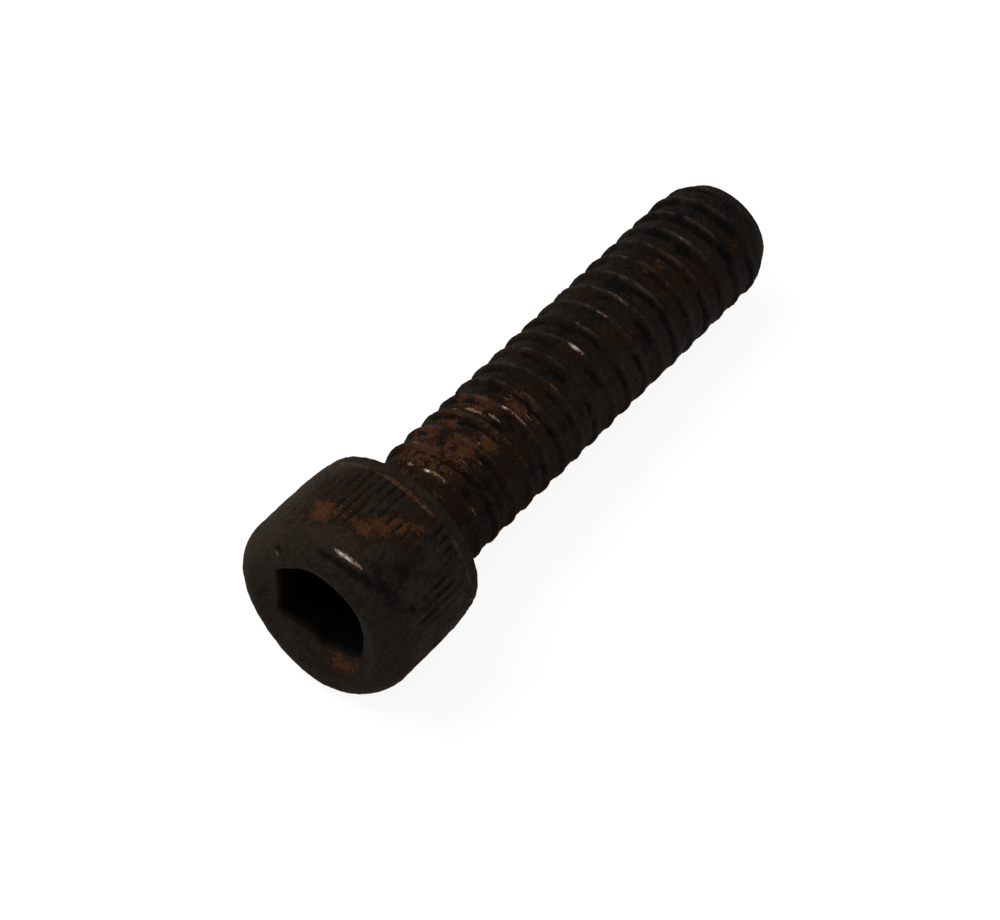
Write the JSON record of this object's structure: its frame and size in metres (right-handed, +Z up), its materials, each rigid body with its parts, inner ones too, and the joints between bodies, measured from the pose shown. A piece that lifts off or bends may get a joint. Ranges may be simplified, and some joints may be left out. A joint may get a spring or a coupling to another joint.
{
  "type": "hex socket cap screw",
  "caption": "Screw with a cylindrical knurled head, a hexagonal socket for a key and a coarse thread that runs up to the head, darkened and rusted.",
  "frame": {"origin": "on the ground, below the middle of the screw as it lies on its side", "axes": "+X runs from the head to the tip, and +Z is up. The screw's own axis dips 3.7 degrees towards the tip, because the head is thicker than the shank"},
  "size_m": [0.0318, 0.0094, 0.0096],
  "materials": {
    "rusted_steel": "worn black oxide with patches of brown and orange rust"
  },
  "bodies": {
    "root": {"cap_screw": "rusted_steel"}
  },
  "joints": []
}
